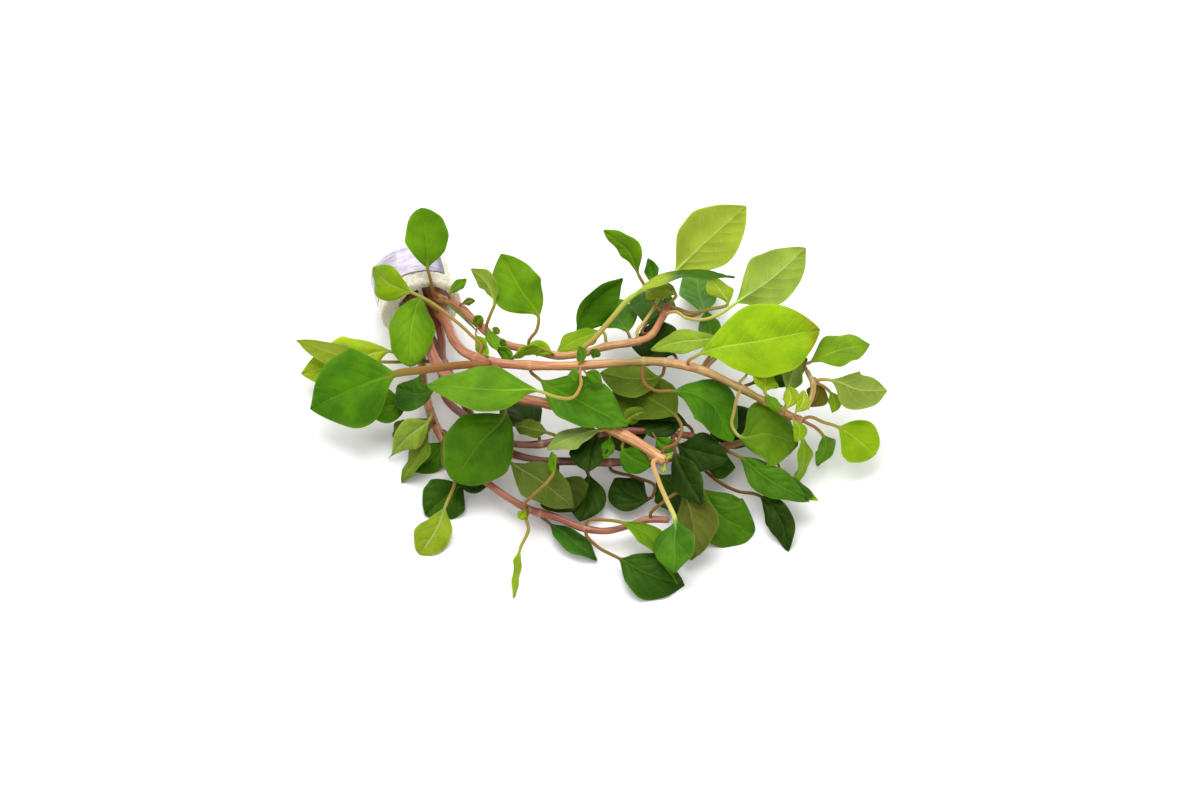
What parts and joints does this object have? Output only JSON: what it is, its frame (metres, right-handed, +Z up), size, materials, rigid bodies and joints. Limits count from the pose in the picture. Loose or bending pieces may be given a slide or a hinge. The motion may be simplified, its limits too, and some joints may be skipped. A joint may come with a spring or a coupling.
{
  "type": "ludwigia bunch",
  "caption": "Bunch of red-stemmed aquarium plant cuttings with green leaves, lying down, held by a round foam plug with a bent metal strip.",
  "frame": {"origin": "middle of the whole bunch over the table, at the height of the table that it lies on", "axes": "+X along the bunch, from the plug's end to the growing tips; +Y away from the viewer, the way the plug's back looks; +Z up"},
  "size_m": [0.177, 0.1318, 0.0447],
  "materials": {
    "leaf_green": "satin",
    "leaf_bright": "satin",
    "leaf_deep": "satin",
    "leaf_underside": "matte",
    "stem_orange": "satin",
    "stem_pink": "satin",
    "stem_dark": "satin",
    "foam": "matte",
    "strip": "satin"
  },
  "bodies": {
    "root": {"foam_plug": "foam", "metal_strip": "strip", "stem_top": "stem_orange", "stem_back": "stem_pink", "stem_middle": "stem_dark", "stem_low": "stem_pink", "stem_cut": "stem_orange", "stem_dark": "stem_dark", "stem_tip": "stem_orange", "tall_leaf_1": "leaf_green", "tall_leaf_2": "leaf_bright", "tall_leaf_3": "leaf_green", "tall_leaf_4": "leaf_underside", "tall_leaf_5": "leaf_green", "left_leaf_1": "leaf_green", "left_leaf_2": "leaf_bright", "left_leaf_3": "leaf_deep", "left_leaf_4": "leaf_green", "left_leaf_5": "leaf_deep", "left_leaf_6": "leaf_green", "left_leaf_7": "leaf_green", "middle_leaf_1": "leaf_bright", "middle_leaf_2": "leaf_deep", "middle_leaf_3": "leaf_underside", "middle_leaf_4": "leaf_deep", "middle_leaf_5": "leaf_underside", "middle_leaf_6": "leaf_bright", "middle_leaf_7": "leaf_green", "centre_leaf_1": "leaf_underside", "centre_leaf_2": "leaf_bright", "centre_leaf_3": "leaf_underside", "centre_leaf_4": "leaf_deep", "centre_leaf_5": "leaf_underside", "top_leaf_1": "leaf_green", "top_leaf_2": "leaf_underside", "top_leaf_3": "leaf_bright", "top_leaf_4": "leaf_deep", "top_leaf_5": "leaf_green", "top_leaf_6": "leaf_underside", "top_leaf_7": "leaf_bright", "top_leaf_8": "leaf_underside", "right_leaf_1": "leaf_bright", "right_leaf_2": "leaf_underside", "right_leaf_3": "leaf_bright", "right_leaf_4": "leaf_green", "right_leaf_5": "leaf_green", "right_leaf_6": "leaf_deep", "right_leaf_7": "leaf_underside", "front_leaf_1": "leaf_bright", "front_leaf_2": "leaf_green", "front_leaf_3": "leaf_bright", "front_leaf_4": "leaf_bright", "front_leaf_5": "leaf_green", "front_leaf_6": "leaf_deep", "front_leaf_7": "leaf_green", "front_leaf_8": "leaf_underside", "front_leaf_9": "leaf_deep", "front_leaf_10": "leaf_deep", "front_leaf_11": "leaf_bright", "front_leaf_12": "leaf_deep"}
  },
  "joints": []
}
